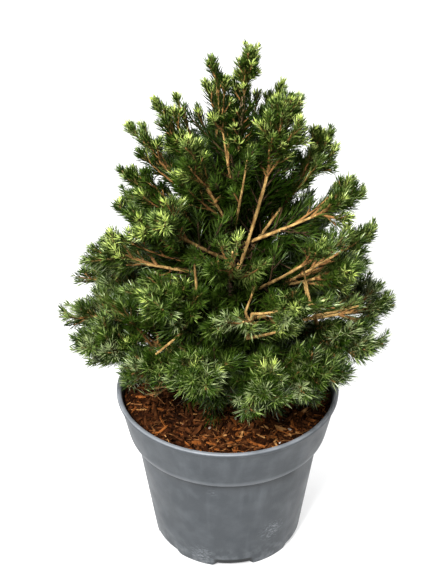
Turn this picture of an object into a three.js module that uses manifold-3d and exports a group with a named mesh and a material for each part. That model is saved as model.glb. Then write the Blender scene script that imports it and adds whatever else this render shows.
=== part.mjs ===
// A dwarf Norway spruce in a grey nursery pot.
// Millimetres, +Z up, +X to the viewer's right, -Y towards the viewer.
// The origin is the middle of the pot's flat underside, on which the plant stands.
// Every limb grows by one rule from the named sizes below: a bare bough, then a mass of shoots.

import * as THREE from 'three';
import { mergeVertices } from 'three/addons/utils/BufferGeometryUtils.js';
import Module from 'manifold-3d';

const wasm = await Module();
wasm.setup();

// Gap kept between pieces that touch on the real plant
const GAP = 0.3;
const UP = new THREE.Vector3(0, 0, 1);
const GOLDEN_ANGLE = THREE.MathUtils.degToRad(137.5);

// The pot: a thin tapered wall with a deep band and a lip
const ROUND = 32;
const WALL = 1.6;
const POT_HEIGHT = 150;
const LIP_RADIUS = 95;
const LIP_INNER = 90.8;
const LIP_HEIGHT = 3.2;
const BAND_TOP_RADIUS = 93.2;
const BAND_FOOT_RADIUS = 86.3;
const BAND_FOOT = 109;
const BODY_TOP_RADIUS = 79.8;
const BODY_TOP = 107;
const FOOT_RADIUS = 65;
const FLOOR = 2;
const EDGE = 1;
const CORNER = 1.5;

// Drain notches round the foot, each under a raised ring of the floor
const NOTCH_COUNT = 6;
const NOTCH_WIDTH = 30;
const NOTCH_HEIGHT = 5;
const NOTCH_INNER = 50;
const NOTCH_OUTER = FOOT_RADIUS + 5;
const NOTCH_FIRST_ANGLE = 274.5;
const RING_INNER = 46;
const RING_TOP = 7;
const RING_SLOPE = 2;

// Bark mulch over the root ball
const SOIL_EDGE_HEIGHT = 140;
const SOIL_MIDDLE_HEIGHT = 146;
const SOIL_MIDDLE_RADIUS = 16;
const SOIL_DROP = 2.5;

// The trunk: a cubic curve with a root flare, then an even taper to its tip
const TRUNK_FOOT = new THREE.Vector3(0, 0, SOIL_MIDDLE_HEIGHT + GAP);
const TRUNK_LEAN_LOW = new THREE.Vector3(2, 1, 240);
const TRUNK_LEAN_HIGH = new THREE.Vector3(3, -2, 345);
const TRUNK_TIP = new THREE.Vector3(12, -6, 420);
const TRUNK_RADIUS = 5.6;
const TRUNK_TIP_RADIUS = 1.7;
const FLARE_RADIUS = 10;
const FLARE_SHARE = 0.05;
const TRUNK_RINGS = 12;
const TRUNK_SIDES = 8;

// A limb turns up a little on its way: how far out and how far up its bend lies
const BEND_OUT = 0.52;
const BEND_UP = 0.44;
const BOUGH_SIDES = 5;
const BOUGH_RINGS = 3;
const BOUGH_END_SHARE = 0.72;

// The second mass at a bough's end leaves it a little before the end, and reaches a little less far
const FORK_LEAD = 7;
const FORK_REACH = 0.97;
const FORK_DROP = 6;

// A mass has one stem, which goes on from its bough or starts at the trunk, and side shoots
const STEM_SIDES = 3;
const STEM_SHARE_OF_BOUGH = 0.68;
const STEM_SHARE_AT_TRUNK = 0.8;
const STEM_TAPER = 0.62;
const STEM_BARE_SHARE = 0.5;
const STEM_SAMPLES = 10;
const FIRST_SHOOT = 0.12;
const SHOOT_STRETCH = 0.76;
const SHOOT_JITTER = 0.6;
const SHOOT_SIDES = 3;
const SHOOT_RADIUS = 2.4;
const SHOOT_END_RADIUS = 1.7;
const SHOOT_BARE_SHARE = 0.4;
const SHOOT_LEAN = 48;
const SHOOT_LEAN_LOSS = 22;
const SHOOT_LEAN_DRAW = 8;
const SHOOT_FLATNESS = 0.75;
const SHOOT_LONGEST = 1.05;
const SHOOT_LENGTH_LOSS = 0.5;
const SHOOT_LENGTH_DRAW = [0.85, 1.15];
const SHOOT_RISE = 0.35;
const SHOOT_CUTS = [1, 0.8, 0.6, 0.45];
const TWIG_STEP = 21.4;
const SEED_STEP = 7919;

// Needles, larger and fewer than life, drawn out of the faces of a shoot's core
const NEEDLE_LENGTH = 21;
const NEEDLE_LENGTH_DRAW = [0.8, 1.1];
const NEEDLE_LENGTH_LOSS = 0.25;
const NEEDLE_CUT = 0.65;
const END_NEEDLES = 7;
const NEEDLE_LEAN = THREE.MathUtils.degToRad(42);

// Clear width between two masses, and between a mass and a limb
const SPACE_MARGIN = 0.7;
const LIMB_MARGIN = 0.7;
const POT_MARGIN = 2;

// Half of what a shoot and a needle need round their middle lines
const SHOOT_THICK = 1.5;
const NEEDLE_THICK = 0.5;

// Edges shorter than this are merged away
const SMALLEST_EDGE = 0.25;

// Pairs of height and the furthest reach of a needle from the pot's axis at that height
const CROWN_OUTLINE = [
  [160, 100],
  [190, 130],
  [234, 139],
  [263, 131],
  [309, 118],
  [338, 108],
  [381, 92],
  [411, 70],
  [430, 52],
  [450, 32],
  [464, 21],
];

// One row for each limb: height of its root on the trunk, compass angle, reach of its tip from the pot's
// axis, height of its tip, share that is bare bough, and the turn of a second mass at the bough's end,
// which is 0 where there is none
const TIERS = [
  {
    name: 'low',
    radius: 2.8,
    spread: 44,
    shoots: 5,
    limbs: [
      [206, 355, 138, 238, 0.4, -25],
      [172, 308, 131, 232, 0.4, -25],
      [184, 258, 133, 242, 0.4, -25],
      [178, 207, 135, 236, 0.4, -25],
      [194, 155, 134, 232, 0.4, -26],
      [176, 103, 134, 228, 0.4, -26],
      [188, 51, 135, 234, 0.4, -26],
    ],
  },
  {
    name: 'middle',
    radius: 2.5,
    spread: 39,
    shoots: 5,
    limbs: [
      [226, 352, 120, 308, 0.42, -24],
      [216, 304, 119, 292, 0.38, -28],
      [220, 240, 119, 298, 0.36, 0],
      [258, 186, 112, 286, 0.42, 0],
      [226, 140, 118, 292, 0, 0],
      [240, 88, 118, 298, 0, 0],
      [230, 36, 118, 290, 0, 0],
    ],
  },
  {
    name: 'upper',
    radius: 2.2,
    spread: 35,
    shoots: 5,
    limbs: [
      [286, 358, 112, 336, 0.42, 0],
      [236, 316, 112, 328, 0.46, 0],
      [254, 272, 106, 340, 0, 0],
      [274, 236, 98, 352, 0.5, 0],
      [250, 210, 92, 340, 0, 0],
      [262, 120, 100, 340, 0, 0],
      [276, 62, 100, 346, 0, 0],
      [240, 338, 55, 424, 0.6, 0],
    ],
  },
  {
    name: 'high',
    radius: 2,
    spread: 30,
    shoots: 4,
    limbs: [
      [262, 14, 90, 378, 0.42, 0],
      [296, 282, 74, 396, 0, 0],
      [302, 240, 66, 404, 0, 0],
      [288, 190, 88, 360, 0, 0],
      [288, 100, 72, 396, 0, 0],
    ],
  },
  {
    name: 'top',
    radius: 1.8,
    spread: 22,
    shoots: 4,
    limbs: [
      [300, 176, 83, 390, 0, 0],
      [312, 194, 62, 418, 0, 0],
      [330, 225, 22, 449, 0, 0],
      [320, 40, 62, 410, 0, 0],
    ],
  },
];

// The year's new leader goes on from the trunk's tip
const LEADER = { tip: new THREE.Vector3(17, -8, 455), spread: 13, shoots: 4, radius: 1.6 };

const MATERIALS = {
  pot: new THREE.MeshStandardMaterial({ color: 0x6b7176, roughness: 0.62, metalness: 0 }),
  soil: new THREE.MeshStandardMaterial({ color: 0x5a2c16, roughness: 0.95, metalness: 0 }),
  bark: new THREE.MeshStandardMaterial({ color: 0x9a6b3c, roughness: 0.9, metalness: 0 }),
  foliage: new THREE.MeshStandardMaterial({ color: 0x2f5a24, roughness: 0.7, metalness: 0 }),
};

// A seeded source of numbers from 0 to 1
function seeded(seed) {
  let state = seed >>> 0;
  return () => {
    state = (state + 0x6d2b79f5) >>> 0;
    let value = Math.imul(state ^ (state >>> 15), state | 1);
    value ^= value + Math.imul(value ^ (value >>> 7), value | 61);
    return ((value ^ (value >>> 14)) >>> 0) / 4294967296;
  };
}

// Plain positions and triangles of a geometry, with shared vertices merged and empty triangles dropped
function bareMesh(geometry) {
  geometry.deleteAttribute('normal');
  geometry.deleteAttribute('uv');
  const merged = mergeVertices(geometry, 1e-3);
  const triangles = [];
  const index = merged.index.array;
  for (let i = 0; i < index.length; i += 3) {
    const [a, b, c] = [index[i], index[i + 1], index[i + 2]];
    if (a !== b && b !== c && c !== a) {
      triangles.push([a, b, c]);
    }
  }
  const points = [];
  for (let i = 0; i < merged.attributes.position.count; i += 1) {
    points.push(new THREE.Vector3().fromBufferAttribute(merged.attributes.position, i));
  }
  return { points, triangles };
}

function toSolid({ points, triangles }) {
  const vertProperties = new Float32Array(points.flatMap((p) => [p.x, p.y, p.z]));
  const triVerts = new Uint32Array(triangles.flat());
  return new wasm.Manifold(new wasm.Mesh({ numProp: 3, vertProperties, triVerts }));
}

function toGeometry(solid) {
  const mesh = solid.getMesh();
  const geometry = new THREE.BufferGeometry();
  geometry.setAttribute('position', new THREE.BufferAttribute(Float32Array.from(mesh.vertProperties), 3));
  geometry.setIndex(Array.from(mesh.triVerts));
  geometry.computeVertexNormals();
  return geometry;
}

// A turned solid from pairs of radius and height, whose outline starts and ends on the axis
function turned(outline) {
  const profile = outline.map(([radius, height]) => new THREE.Vector2(radius, height));
  const geometry = new THREE.LatheGeometry(profile, ROUND);
  geometry.rotateX(Math.PI / 2);
  return toSolid(bareMesh(geometry));
}

// Two directions square to a tangent; the second points upwards on a level limb
function squareTo(tangent) {
  const reference = Math.abs(tangent.z) > 0.95 ? new THREE.Vector3(0, 1, 0) : UP;
  const side = new THREE.Vector3().crossVectors(tangent, reference).normalize();
  const over = new THREE.Vector3().crossVectors(side, tangent).normalize();
  return { side, over };
}

// A round bar bent along part of a curve, with the radius given as a function of the share of its length
function bentBar(curve, from, to, sides, rings, radiusAt) {
  const mesh = bareMesh(new THREE.CylinderGeometry(1, 1, 1, sides, rings));
  const frames = squareTo(curve.getTangent((from + to) / 2));
  for (const point of mesh.points) {
    const share = point.y + 0.5;
    const at = from + (to - from) * share;
    const centre = curve.getPoint(at);
    const tangent = curve.getTangent(at);
    const side = frames.side.clone().addScaledVector(tangent, -frames.side.dot(tangent)).normalize();
    const over = new THREE.Vector3().crossVectors(side, tangent);
    const radius = radiusAt(share);
    const [x, z] = [point.x * radius, point.z * radius];
    point.copy(centre).addScaledVector(side, x).addScaledVector(over, z);
    point.share = share;
    point.centre = centre;
    point.tangent = tangent;
    point.offAxis = Math.hypot(x, z) > radius / 2;
  }
  return mesh;
}

function makePot() {
  const inset = (radius) => radius - WALL;
  const shell = turned([
    [0, 0],
    [FOOT_RADIUS - EDGE, 0],
    [FOOT_RADIUS, CORNER],
    [BODY_TOP_RADIUS, BODY_TOP],
    [BAND_FOOT_RADIUS - CORNER, BAND_FOOT - EDGE],
    [BAND_FOOT_RADIUS, BAND_FOOT + CORNER],
    [BAND_TOP_RADIUS, POT_HEIGHT - LIP_HEIGHT - EDGE],
    [LIP_RADIUS, POT_HEIGHT - LIP_HEIGHT],
    [LIP_RADIUS, POT_HEIGHT - EDGE],
    [LIP_RADIUS - EDGE, POT_HEIGHT],
    [LIP_INNER + EDGE, POT_HEIGHT],
    [LIP_INNER, POT_HEIGHT - EDGE],
    [inset(BAND_FOOT_RADIUS), BAND_FOOT + CORNER],
    [inset(BODY_TOP_RADIUS), BODY_TOP + EDGE],
    [inset(FOOT_RADIUS) + EDGE, RING_TOP],
    [RING_INNER, RING_TOP],
    [RING_INNER - RING_SLOPE, FLOOR],
    [0, FLOOR],
  ]);
  let pot = shell;
  for (let i = 0; i < NOTCH_COUNT; i += 1) {
    const depth = NOTCH_OUTER - NOTCH_INNER;
    const notch = new THREE.BoxGeometry(depth, NOTCH_WIDTH, 2 * NOTCH_HEIGHT);
    notch.translate(NOTCH_INNER + depth / 2, 0, 0);
    notch.rotateZ(THREE.MathUtils.degToRad(NOTCH_FIRST_ANGLE + (i * 360) / NOTCH_COUNT));
    pot = pot.subtract(toSolid(bareMesh(notch)));
  }
  return pot;
}

function makeSoil() {
  const inner = (radius) => radius - WALL - GAP;
  const wallFoot = BAND_FOOT + CORNER;
  const wallTop = POT_HEIGHT - EDGE;
  const upTheBand = (SOIL_EDGE_HEIGHT - wallFoot) / (wallTop - wallFoot);
  const edgeRadius = THREE.MathUtils.lerp(BAND_FOOT_RADIUS - WALL, LIP_INNER, upTheBand) - GAP;
  return turned([
    [0, FLOOR + GAP],
    [RING_INNER - RING_SLOPE - GAP, FLOOR + GAP],
    [RING_INNER - GAP, RING_TOP + GAP],
    [inner(FOOT_RADIUS) + EDGE, RING_TOP + GAP],
    [inner(BODY_TOP_RADIUS), BODY_TOP + EDGE],
    [inner(BAND_FOOT_RADIUS), BAND_FOOT + CORNER + GAP],
    [edgeRadius, SOIL_EDGE_HEIGHT],
    [(edgeRadius + SOIL_MIDDLE_RADIUS) / 2, SOIL_MIDDLE_HEIGHT - SOIL_DROP],
    [SOIL_MIDDLE_RADIUS, SOIL_MIDDLE_HEIGHT],
    [0, SOIL_MIDDLE_HEIGHT],
  ]);
}

const trunkCurve = new THREE.CubicBezierCurve3(TRUNK_FOOT, TRUNK_LEAN_LOW, TRUNK_LEAN_HIGH, TRUNK_TIP);

function trunkRadius(share) {
  const taper = THREE.MathUtils.lerp(TRUNK_RADIUS, TRUNK_TIP_RADIUS, share);
  const flare = Math.max(0, 1 - share / FLARE_SHARE);
  return taper + (FLARE_RADIUS - TRUNK_RADIUS) * flare * flare;
}

// Share of the trunk's curve at a height
function trunkShareAt(height) {
  let [low, high] = [0, 1];
  for (let i = 0; i < 30; i += 1) {
    const middle = (low + high) / 2;
    if (trunkCurve.getPoint(middle).z < height) {
      low = middle;
    } else {
      high = middle;
    }
  }
  return low;
}

function makeTrunk(extra) {
  return toSolid(bentBar(trunkCurve, 0, 1, TRUNK_SIDES, TRUNK_RINGS, (share) => trunkRadius(share) + extra));
}

// The curve of a limb from its root to its tip
function limbCurve(start, angle, reach, height) {
  const stemReach = reach - END_NEEDLES;
  const tip = new THREE.Vector3(stemReach * Math.cos(angle), stemReach * Math.sin(angle), height);
  const bend = new THREE.Vector3(
    THREE.MathUtils.lerp(start.x, tip.x, BEND_OUT),
    THREE.MathUtils.lerp(start.y, tip.y, BEND_OUT),
    THREE.MathUtils.lerp(start.z, tip.z, BEND_UP),
  );
  return new THREE.QuadraticBezierCurve3(start, bend, tip);
}

function sampled(curve, from, to) {
  const points = [];
  for (let i = 0; i <= STEM_SAMPLES; i += 1) {
    points.push(curve.getPoint(from + ((to - from) * i) / STEM_SAMPLES));
  }
  return points;
}

// Boughs and masses worked out from the tiers
const boughs = [];
const masses = [];

function addMass(name, curve, from, start, tier) {
  const seed = SEED_STEP * (masses.length + 1);
  const line = sampled(curve, from, 1);
  masses.push({ name, curve, from, start, line, seed, ...tier });
}

for (const tier of TIERS) {
  tier.limbs.forEach(([rootHeight, compass, reach, tipHeight, bare, turn], i) => {
    const label = `${tier.name}_${i + 1}`;
    const root = trunkCurve.getPoint(trunkShareAt(rootHeight));
    const angle = THREE.MathUtils.degToRad(compass);
    const curve = limbCurve(root, angle, reach, tipHeight);
    const { radius, spread, shoots } = tier;
    const stemShare = bare > 0 ? STEM_SHARE_OF_BOUGH : STEM_SHARE_AT_TRUNK;
    const size = { radius: radius * stemShare, spread, shoots };
    if (bare > 0) {
      const endRadius = radius * BOUGH_END_SHARE;
      const bough = { name: `bough_${label}`, curve, to: bare, radius, endRadius };
      bough.line = sampled(curve, 0, bare);
      boughs.push(bough);
      const afterGap = bare + GAP / curve.getLength();
      addMass(`foliage_${label}`, curve, afterGap, 'bough end', size);
      if (turn !== 0) {
        const forkAngle = angle + THREE.MathUtils.degToRad(turn);
        const fork = curve.getPoint(bare - FORK_LEAD / curve.getLength());
        const side = limbCurve(fork, forkAngle, reach * FORK_REACH, tipHeight - FORK_DROP);
        addMass(`foliage_${label}_side`, side, 0, bough, size);
      }
    } else {
      addMass(`foliage_${label}`, curve, 0, 'trunk', size);
    }
  });
}
const trunkTop = trunkCurve.getPoint(1).addScaledVector(trunkCurve.getTangent(1), GAP);
const leaderBend = trunkTop.clone().lerp(LEADER.tip, 0.5);
const leaderCurve = new THREE.QuadraticBezierCurve3(trunkTop, leaderBend, LEADER.tip);
addMass('foliage_leader', leaderCurve, 0, 'trunk end', LEADER);

const trunkLine = sampled(trunkCurve, 0, 1);
const segment = new THREE.Line3();
const nearest = new THREE.Vector3();

// Distance from a point to a line of points, and the share along it of the nearest place
function lineDistance(point, line) {
  let best = Infinity;
  let share = 0;
  for (let i = 0; i + 1 < line.length; i += 1) {
    segment.set(line[i], line[i + 1]);
    const t = segment.closestPointToPointParameter(point, true);
    const distance = segment.at(t, nearest).distanceTo(point);
    if (distance < best) {
      best = distance;
      share = (i + t) / (line.length - 1);
    }
  }
  return [best, share];
}

function crownReach(height) {
  const above = CROWN_OUTLINE.findIndex(([top]) => top >= height);
  if (above < 0) {
    return 0;
  }
  const [high, highReach] = CROWN_OUTLINE[above];
  const [low, lowReach] = CROWN_OUTLINE[Math.max(0, above - 1)];
  return THREE.MathUtils.mapLinear(Math.max(height, low), low, Math.max(high, low + 1), lowReach, highReach);
}

// Whether a point lies in the mass's own space, which is nearer to its stem than to any other stem,
// and clear of the crown's outline, the pot, the trunk and the boughs
function inOwnSpace(mass, point, thick) {
  if (point.z < POT_HEIGHT + POT_MARGIN || Math.hypot(point.x, point.y) > crownReach(point.z)) {
    return false;
  }
  const [own] = lineDistance(point, mass.line);
  for (const other of masses) {
    if (other !== mass && lineDistance(point, other.line)[0] < own + 2 * (SPACE_MARGIN + thick)) {
      return false;
    }
  }
  for (const bough of boughs) {
    const [distance, share] = lineDistance(point, bough.line);
    const radius = THREE.MathUtils.lerp(bough.radius, bough.endRadius, share);
    if (distance < radius + thick + LIMB_MARGIN) {
      return false;
    }
  }
  const [distance, share] = lineDistance(point, trunkLine);
  return distance > trunkRadius(share) + thick + LIMB_MARGIN;
}

function needleFits(mass, root, reach, length) {
  const tip = root.clone().addScaledVector(reach, length);
  const middle = root.clone().addScaledVector(reach, length / 2);
  return inOwnSpace(mass, tip, 0) && inOwnSpace(mass, middle, NEEDLE_THICK);
}

// Draws a needle out of every second face of a shoot's core, and a point out of its end
function drawNeedles(mass, mesh, random, firstShare) {
  const triangles = [];
  mesh.triangles.forEach(([a, b, c], i) => {
    const corners = [mesh.points[a], mesh.points[b], mesh.points[c]];
    const share = (corners[0].share + corners[1].share + corners[2].share) / 3;
    const onSide = corners.every((corner) => corner.offAxis);
    if (!onSide || i % 2 === 1 || share < firstShare) {
      triangles.push([a, b, c]);
      return;
    }
    const root = new THREE.Vector3();
    const axis = new THREE.Vector3();
    const along = new THREE.Vector3();
    for (const corner of corners) {
      root.addScaledVector(corner, 1 / 3);
      axis.addScaledVector(corner.centre, 1 / 3);
      along.add(corner.tangent);
    }
    along.normalize();
    const out = root.clone().sub(axis);
    out.addScaledVector(along, -out.dot(along)).normalize();
    const reach = along.multiplyScalar(Math.cos(NEEDLE_LEAN)).addScaledVector(out, Math.sin(NEEDLE_LEAN));
    const drawn = THREE.MathUtils.lerp(...NEEDLE_LENGTH_DRAW, random());
    let length = NEEDLE_LENGTH * drawn * (1 - NEEDLE_LENGTH_LOSS * share);
    if (!needleFits(mass, root, reach, length)) {
      length *= NEEDLE_CUT;
    }
    if (!needleFits(mass, root, reach, length)) {
      triangles.push([a, b, c]);
      return;
    }
    const tip = root.clone().addScaledVector(reach, length);
    const apex = mesh.points.push(tip) - 1;
    triangles.push([a, b, apex], [b, c, apex], [c, a, apex]);
  });
  for (const point of mesh.points) {
    if (point.share === 1 && !point.offAxis) {
      const tip = point.clone().addScaledVector(point.tangent, END_NEEDLES);
      if (inOwnSpace(mass, tip, 0)) {
        point.copy(tip);
      }
    }
  }
  mesh.triangles = triangles;
  return mesh;
}

// The side shoots of a mass, placed along its stem by the golden angle and a seeded draw
function sideShoots(mass) {
  const random = seeded(mass.seed);
  const shoots = [];
  for (let i = 0; i < mass.shoots; i += 1) {
    const share = FIRST_SHOOT + (SHOOT_STRETCH * (i + random() * SHOOT_JITTER)) / mass.shoots;
    const turn = i * GOLDEN_ANGLE + random();
    const lean = THREE.MathUtils.degToRad(SHOOT_LEAN - SHOOT_LEAN_LOSS * share + SHOOT_LEAN_DRAW * random());
    const longest = mass.spread * (SHOOT_LONGEST - SHOOT_LENGTH_LOSS * share);
    const length = longest * THREE.MathUtils.lerp(...SHOOT_LENGTH_DRAW, random());
    const at = mass.from + (1 - mass.from) * share;
    const root = mass.curve.getPoint(at);
    const tangent = mass.curve.getTangent(at);
    const { side, over } = squareTo(tangent);
    const out = side.multiplyScalar(Math.cos(turn));
    out.addScaledVector(over, SHOOT_FLATNESS * Math.sin(turn)).normalize();
    const heading = tangent.multiplyScalar(Math.cos(lean)).addScaledVector(out, Math.sin(lean));
    const bend = root.clone().addScaledVector(heading, length / 2);
    const risen = heading.clone().addScaledVector(UP, SHOOT_RISE).normalize();
    const end = bend.clone().addScaledVector(risen, length / 2);
    shoots.push({ root, bend, end, length });
  }
  return shoots;
}

// The shoot is cut back, or skipped, where its end would leave the mass's space
function fittedShoot(mass, shoot) {
  for (const keep of SHOOT_CUTS) {
    const curve = new THREE.QuadraticBezierCurve3(shoot.root, shoot.bend, shoot.end);
    const inside = [0.5, 0.75, 1].every((t) => inOwnSpace(mass, curve.getPoint(t * keep), SHOOT_THICK));
    if (inside) {
      return { curve, keep };
    }
  }
  return null;
}

function makeMass(mass) {
  const random = seeded(mass.seed + 1);
  const stemLength = mass.curve.getLength() * (1 - mass.from);
  const stemRadius = (share) => mass.radius * (1 - STEM_TAPER * share);
  const stemRings = Math.max(3, Math.round(stemLength / TWIG_STEP));
  const stem = bentBar(mass.curve, mass.from, 1, STEM_SIDES, stemRings, stemRadius);
  let solid = toSolid(drawNeedles(mass, stem, random, STEM_BARE_SHARE));
  for (const shoot of sideShoots(mass)) {
    const fitted = fittedShoot(mass, shoot);
    if (fitted) {
      const rings = Math.max(2, Math.round((shoot.length * fitted.keep) / TWIG_STEP));
      const radius = (share) => THREE.MathUtils.lerp(SHOOT_RADIUS, SHOOT_END_RADIUS, share);
      const core = bentBar(fitted.curve, 0, fitted.keep, SHOOT_SIDES, rings, radius);
      solid = solid.add(toSolid(drawNeedles(mass, core, random, SHOOT_BARE_SHARE)));
    }
  }
  if (mass.start === 'trunk') {
    solid = solid.subtract(makeTrunk(GAP));
  } else if (mass.start.curve) {
    solid = solid.subtract(makeBough(mass.start, GAP));
  }
  return solid;
}

function makeBough(bough, extra) {
  const radius = (share) => THREE.MathUtils.lerp(bough.radius, bough.endRadius, share) + extra;
  return toSolid(bentBar(bough.curve, 0, bough.to, BOUGH_SIDES, BOUGH_RINGS, radius));
}

// The largest body of a solid; a loose scrap is dropped and a sealed hollow is filled
function mainBody(solid) {
  const bodies = solid.simplify(SMALLEST_EDGE).decompose();
  return bodies.reduce((best, body) => (body.volume() > best.volume() ? body : best));
}

const plant = new THREE.Group();

function addNode(name, solid, material) {
  const mesh = new THREE.Mesh(toGeometry(mainBody(solid)), material);
  mesh.name = name;
  plant.add(mesh);
}

addNode('pot', makePot(), MATERIALS.pot);
addNode('soil', makeSoil(), MATERIALS.soil);
addNode('trunk', makeTrunk(0), MATERIALS.bark);
for (const bough of boughs) {
  addNode(bough.name, makeBough(bough, 0).subtract(makeTrunk(GAP)), MATERIALS.bark);
}
for (const mass of masses) {
  addNode(mass.name, makeMass(mass), MATERIALS.foliage);
}

export default plant;
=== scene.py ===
# A dwarf Norway spruce in a grey nursery pot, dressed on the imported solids.
# Sizes are millimetres, as in the rule that the solids grow by, and become metres when a mesh is made.

import math

import bpy
import numpy as np
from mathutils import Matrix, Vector, noise


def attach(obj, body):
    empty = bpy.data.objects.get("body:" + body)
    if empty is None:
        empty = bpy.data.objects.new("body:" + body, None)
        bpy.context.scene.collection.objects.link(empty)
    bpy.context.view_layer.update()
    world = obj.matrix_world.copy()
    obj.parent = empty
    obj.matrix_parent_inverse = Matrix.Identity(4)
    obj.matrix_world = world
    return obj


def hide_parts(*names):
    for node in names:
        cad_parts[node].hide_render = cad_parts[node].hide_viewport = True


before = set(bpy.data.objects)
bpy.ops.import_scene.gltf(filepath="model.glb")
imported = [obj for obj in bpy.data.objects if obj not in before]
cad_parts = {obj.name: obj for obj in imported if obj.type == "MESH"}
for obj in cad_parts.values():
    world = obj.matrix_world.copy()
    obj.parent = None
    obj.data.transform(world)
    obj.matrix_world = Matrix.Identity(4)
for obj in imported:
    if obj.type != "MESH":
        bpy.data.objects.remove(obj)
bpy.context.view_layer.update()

MM = 0.001
UP = np.array([0.0, 0.0, 1.0])
FULL_TURN = 2 * math.pi
GOLDEN_ANGLE = math.radians(137.5)

# Camera at the photograph's viewing angle
CAMERA_DISTANCE = 1.064
CAMERA_ELEVATION = math.radians(32.3)
AIM_HEIGHT = 0.2423
LENS = 79.7
SENSOR_WIDTH = 36
SIDE_SHIFT = -0.013
NEAR_CLIP = 0.01

scene = bpy.context.scene


# Puts a new object with some data into the scene
def add_object(name, data):
    made = bpy.data.objects.new(name, data)
    scene.collection.objects.link(made)
    return made


camera_data = bpy.data.cameras.new("camera")
camera_data.lens = LENS
camera_data.sensor_width = SENSOR_WIDTH
camera_data.shift_x = SIDE_SHIFT
camera_data.clip_start = NEAR_CLIP
camera = add_object("camera", camera_data)
camera.location = (
    0,
    -CAMERA_DISTANCE * math.cos(CAMERA_ELEVATION),
    AIM_HEIGHT + CAMERA_DISTANCE * math.sin(CAMERA_ELEVATION),
)
camera.rotation_euler = (math.pi / 2 - CAMERA_ELEVATION, 0, 0)
scene.camera = camera

# The pot
POT_SIDES = 160
WALL = 1.6
POT_HEIGHT = 150
LIP_RADIUS = 95
LIP_INNER = 90.8
LIP_HEIGHT = 3.2
BAND_TOP_RADIUS = 93.2
BAND_FOOT_RADIUS = 86.3
BAND_FOOT = 109
BODY_TOP_RADIUS = 79.8
BODY_TOP = 107
FOOT_RADIUS = 65
FLOOR = 2
EDGE = 1
CORNER = 1.5
BAND_ROUND = 3.5
LONGEST_STRETCH = 7
NOTCH_COUNT = 6
NOTCH_INNER = 50
NOTCH_OUTER = 70
NOTCH_FIRST_ANGLE = 274.5
RING_INNER = 46
RING_TOP = 7
RING_SLOPE = 2

# Bark mulch
SOIL_EDGE_HEIGHT = 140
SOIL_EDGE_RADIUS = 88.7
SOIL_MIDDLE_HEIGHT = 146
SOIL_MIDDLE_RADIUS = 16
SOIL_DROP = 2.5
CHIP_LIMIT = 88.4

# The trunk and the limbs, as the solids' rule has them
GAP = 0.3
TRUNK_POINTS = np.array([[0, 0, 146.3], [2, 1, 240], [3, -2, 345], [12, -6, 420]], float)
TRUNK_RADIUS = 5.6
TRUNK_TIP_RADIUS = 1.7
FLARE_RADIUS = 10
FLARE_SHARE = 0.05
BEND_OUT = 0.52
BEND_UP = 0.44
BOUGH_END_SHARE = 0.72
FORK_LEAD = 7
FORK_REACH = 0.97
FORK_DROP = 6
STEM_SHARE_OF_BOUGH = 0.68
STEM_SHARE_AT_TRUNK = 0.8
STEM_TAPER = 0.62
STEM_SAMPLES = 10
MAIN_SHOOT_RADIUS = 1.6
SHOOT_TIP_RADIUS = 0.6
FIRST_SHOOT = 0.12
SHOOT_STRETCH = 0.76
SHOOT_LEAN = 48
SHOOT_LEAN_LOSS = 22
SHOOT_FLATNESS = 0.75
SHOOT_RISE = 0.35
SHOOT_CUTS = (1, 0.8, 0.6, 0.45)
SHOOT_ROOM = 1.5
END_NEEDLES = 7
SPACE_MARGIN = 0.7
LIMB_MARGIN = 0.7
MASS_SEED = 7919

# Heights, and the furthest reach of a needle from the pot's axis at each of them
OUTLINE_HEIGHTS = [160, 190, 234, 263, 309, 338, 381, 411, 430, 450, 464]
OUTLINE_REACHES = [100, 130, 139, 131, 118, 108, 92, 70, 52, 32, 21]

# Name, bough radius, spread, number of side shoots and limbs of each tier. One row for each limb:
# height of its root on the trunk, compass angle, reach of its tip from the pot's axis, height of its
# tip, share that is bare bough, and the turn of a second mass at the bough's end, or 0
LOW_LIMBS = [
    [206, 355, 138, 238, 0.4, -25],
    [172, 308, 131, 232, 0.4, -25],
    [184, 258, 133, 242, 0.4, -25],
    [178, 207, 135, 236, 0.4, -25],
    [194, 155, 134, 232, 0.4, -26],
    [176, 103, 134, 228, 0.4, -26],
    [188, 51, 135, 234, 0.4, -26],
]
MIDDLE_LIMBS = [
    [226, 352, 120, 308, 0.42, -24],
    [216, 304, 119, 292, 0.38, -28],
    [220, 240, 119, 298, 0.36, 0],
    [258, 186, 112, 286, 0.42, 0],
    [226, 140, 118, 292, 0, 0],
    [240, 88, 118, 298, 0, 0],
    [230, 36, 118, 290, 0, 0],
]
UPPER_LIMBS = [
    [286, 358, 112, 336, 0.42, 0],
    [236, 316, 112, 328, 0.46, 0],
    [254, 272, 106, 340, 0, 0],
    [274, 236, 98, 352, 0.5, 0],
    [250, 210, 92, 340, 0, 0],
    [262, 120, 100, 340, 0, 0],
    [276, 62, 100, 346, 0, 0],
    [240, 338, 55, 424, 0.6, 0],
]
HIGH_LIMBS = [
    [262, 14, 90, 378, 0.42, 0],
    [296, 282, 74, 396, 0, 0],
    [302, 240, 66, 404, 0, 0],
    [288, 190, 88, 360, 0, 0],
    [288, 100, 72, 396, 0, 0],
]
TOP_LIMBS = [
    [300, 176, 83, 390, 0, 0],
    [312, 194, 62, 418, 0, 0],
    [330, 225, 22, 449, 0, 0],
    [320, 40, 62, 410, 0, 0],
]
TIERS = [
    ("low", 2.8, 44, 5, LOW_LIMBS),
    ("middle", 2.5, 39, 5, MIDDLE_LIMBS),
    ("upper", 2.2, 35, 5, UPPER_LIMBS),
    ("high", 2, 30, 4, HIGH_LIMBS),
    ("top", 1.8, 22, 4, TOP_LIMBS),
]
LEADER_TIP = np.array([17, -8, 455], float)
LEADER_SPREAD = 13
LEADER_SHOOTS = 4
LEADER_RADIUS = 1.6


# Small helpers for points and curves
def unit(vectors):
    return vectors / np.linalg.norm(vectors, axis=-1, keepdims=True)


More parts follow.
